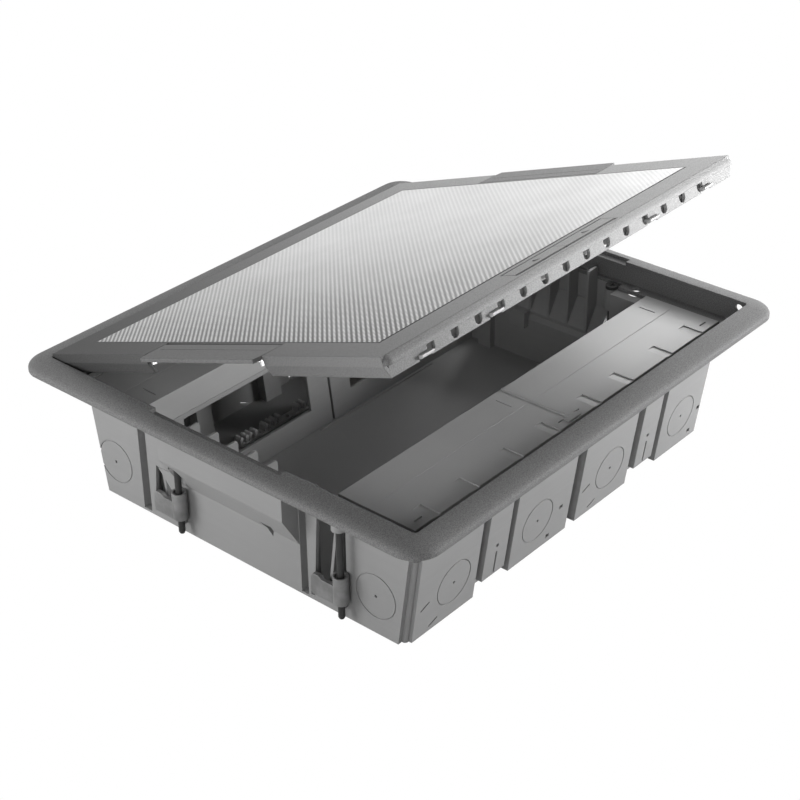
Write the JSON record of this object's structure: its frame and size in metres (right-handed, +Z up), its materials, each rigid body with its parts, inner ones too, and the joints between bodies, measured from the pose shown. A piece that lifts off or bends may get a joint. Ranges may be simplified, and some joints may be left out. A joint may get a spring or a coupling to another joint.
{
  "type": "floor socket box",
  "caption": "Recessed floor box with a flanged frame, a hinged steel-inlaid lid with cable flaps, covered socket spaces beside an open trough, and screw-driven clamping claws.",
  "frame": {"origin": "middle of the underside of the body", "axes": "X along the lid hinge, +Y towards the hinge side, +Z up"},
  "size_m": [0.342, 0.306, 0.1817],
  "materials": {
    "body_plastic": "satin moulded grey, fine grain",
    "frame_plastic": "spark-eroded grey",
    "cover_plastic": "satin light grey",
    "flap_plastic": "satin dark grey",
    "insert_steel": "embossed stainless sheet",
    "galvanised": "galvanised sheet",
    "zinc_screw": "bright zinc-plated",
    "claw_steel": "dull zinc-plated",
    "brass": "machined",
    "latch_plastic": "light grey moulded"
  },
  "bodies": {
    "box": {"box_body": "body_plastic", "mounting_frame": "frame_plastic", "frame_screws": "zinc_screw", "hinge_pin_left": "zinc_screw", "hinge_pin_right": "zinc_screw", "cover_front_left": "cover_plastic", "cover_front_right": "cover_plastic", "cover_back_left": "cover_plastic", "cover_back_right": "cover_plastic", "divider_front_left": "body_plastic", "divider_front_right": "body_plastic", "divider_back_left": "body_plastic", "divider_back_right": "body_plastic", "cover_clip_front": "cover_plastic", "cover_clip_back": "cover_plastic", "cable_clips_front": "latch_plastic", "cable_clips_back": "latch_plastic", "earth_terminal": "brass", "earth_screws": "zinc_screw", "cable_comb_left": "body_plastic", "cable_comb_right": "body_plastic"},
    "lid": {"lid_frame": "frame_plastic", "lid_insert": "insert_steel", "lid_core": "galvanised", "lid_screws": "zinc_screw", "handle_pin": "zinc_screw", "hinge_arm_left": "galvanised", "hinge_arm_right": "galvanised", "latch_springs_left": "zinc_screw", "latch_springs_right": "zinc_screw", "flap_pin_left": "zinc_screw", "flap_pin_right": "zinc_screw"},
    "flap_left": {"cable_flap_left": "flap_plastic", "flap_stiffener_left": "galvanised"},
    "flap_right": {"cable_flap_right": "flap_plastic", "flap_stiffener_right": "galvanised"},
    "handle_left": {"handle_left": "frame_plastic"},
    "handle_right": {"handle_right": "frame_plastic"},
    "latch_left": {"latch_bar_left": "latch_plastic"},
    "latch_right": {"latch_bar_right": "latch_plastic"},
    "screw_1": {"clamp_screw_1": "zinc_screw"},
    "nut_1": {"clamp_nut_1": "claw_steel"},
    "claw_1": {"clamp_claw_1": "claw_steel"},
    "screw_2": {"clamp_screw_2": "zinc_screw"},
    "nut_2": {"clamp_nut_2": "claw_steel"},
    "claw_2": {"clamp_claw_2": "claw_steel"},
    "screw_3": {"clamp_screw_3": "zinc_screw"},
    "nut_3": {"clamp_nut_3": "claw_steel"},
    "claw_3": {"clamp_claw_3": "claw_steel"},
    "screw_4": {"clamp_screw_4": "zinc_screw"},
    "nut_4": {"clamp_nut_4": "claw_steel"},
    "claw_4": {"clamp_claw_4": "claw_steel"}
  },
  "joints": [
    {"name": "lid_hinge", "type": "hinge", "parent": "box", "child": "lid", "pos_m": [0, 0.1413, 0.0842], "axis": [-1, 0, 0], "range_deg": [-19.55, 65]},
    {"name": "flap_left_hinge", "type": "hinge", "parent": "lid", "child": "flap_left", "pos_m": [-0.1408, 0.00928, 0.13469], "axis": [0, 0.9423, -0.3346], "range_deg": [0, 90]},
    {"name": "flap_right_hinge", "type": "hinge", "parent": "lid", "child": "flap_right", "pos_m": [0.1408, 0.00928, 0.13469], "axis": [0, -0.9423, 0.3346], "range_deg": [0, 90]},
    {"name": "handle_left_lift", "type": "hinge", "parent": "lid", "child": "handle_left", "pos_m": [-0.022, -0.11305, 0.17749], "axis": [1, 0, 0], "range_deg": [0, 60], "stiffness_Nm_per_rad": 0.002},
    {"name": "latch_left_slide", "type": "slide", "parent": "lid", "child": "latch_left", "axis": [0, 0.9423, -0.3346], "range_m": [0, 0.004], "stiffness_N_per_m": 120},
    {"name": "handle_right_lift", "type": "hinge", "parent": "lid", "child": "handle_right", "pos_m": [0.022, -0.11305, 0.17749], "axis": [1, 0, 0], "range_deg": [0, 60], "stiffness_Nm_per_rad": 0.002},
    {"name": "latch_right_slide", "type": "slide", "parent": "lid", "child": "latch_right", "axis": [0, 0.9423, -0.3346], "range_m": [0, 0.004], "stiffness_N_per_m": 120},
    {"name": "clamp_1_turn", "type": "hinge", "parent": "box", "child": "screw_1", "pos_m": [-0.149, 0.045, 0.04], "axis": [0, 0, -1], "range_deg": [0, 5420]},
    {"name": "clamp_1_climb", "type": "slide", "parent": "box", "child": "nut_1", "axis": [0, 0, 1], "range_m": [0, 0.012]},
    {"name": "clamp_1_swing", "type": "hinge", "parent": "nut_1", "child": "claw_1", "pos_m": [-0.149, 0.045, 0.02], "axis": [0, 0, 1], "range_deg": [0, 90]},
    {"name": "clamp_2_turn", "type": "hinge", "parent": "box", "child": "screw_2", "pos_m": [-0.149, -0.0796, 0.04], "axis": [0, 0, -1], "range_deg": [0, 12640]},
    {"name": "clamp_2_climb", "type": "slide", "parent": "box", "child": "nut_2", "axis": [0, 0, 1], "range_m": [0, 0.028]},
    {"name": "clamp_2_swing", "type": "hinge", "parent": "nut_2", "child": "claw_2", "pos_m": [-0.149, -0.0796, 0.02], "axis": [0, 0, 1], "range_deg": [0, 90]},
    {"name": "clamp_3_turn", "type": "hinge", "parent": "box", "child": "screw_3", "pos_m": [0.149, -0.045, 0.04], "axis": [0, 0, -1], "range_deg": [0, 5420]},
    {"name": "clamp_3_climb", "type": "slide", "parent": "box", "child": "nut_3", "axis": [0, 0, 1], "range_m": [0, 0.012]},
    {"name": "clamp_3_swing", "type": "hinge", "parent": "nut_3", "child": "claw_3", "pos_m": [0.149, -0.045, 0.02], "axis": [0, 0, 1], "range_deg": [0, 90]},
    {"name": "clamp_4_turn", "type": "hinge", "parent": "box", "child": "screw_4", "pos_m": [0.149, 0.0796, 0.04], "axis": [0, 0, -1], "range_deg": [0, 12640]},
    {"name": "clamp_4_climb", "type": "slide", "parent": "box", "child": "nut_4", "axis": [0, 0, 1], "range_m": [0, 0.028]},
    {"name": "clamp_4_swing", "type": "hinge", "parent": "nut_4", "child": "claw_4", "pos_m": [0.149, 0.0796, 0.02], "axis": [0, 0, 1], "range_deg": [0, 90]}
  ],
  "couplings": [
    {"joint": "handle_left_lift", "follows": "latch_left_slide", "rad_per_m": 260},
    {"joint": "handle_right_lift", "follows": "latch_right_slide", "rad_per_m": 260},
    {"joint": "clamp_1_turn", "follows": "clamp_1_climb", "rad_per_m": 7874},
    {"joint": "clamp_2_turn", "follows": "clamp_2_climb", "rad_per_m": 7874},
    {"joint": "clamp_3_turn", "follows": "clamp_3_climb", "rad_per_m": 7874},
    {"joint": "clamp_4_turn", "follows": "clamp_4_climb", "rad_per_m": 7874}
  ]
}
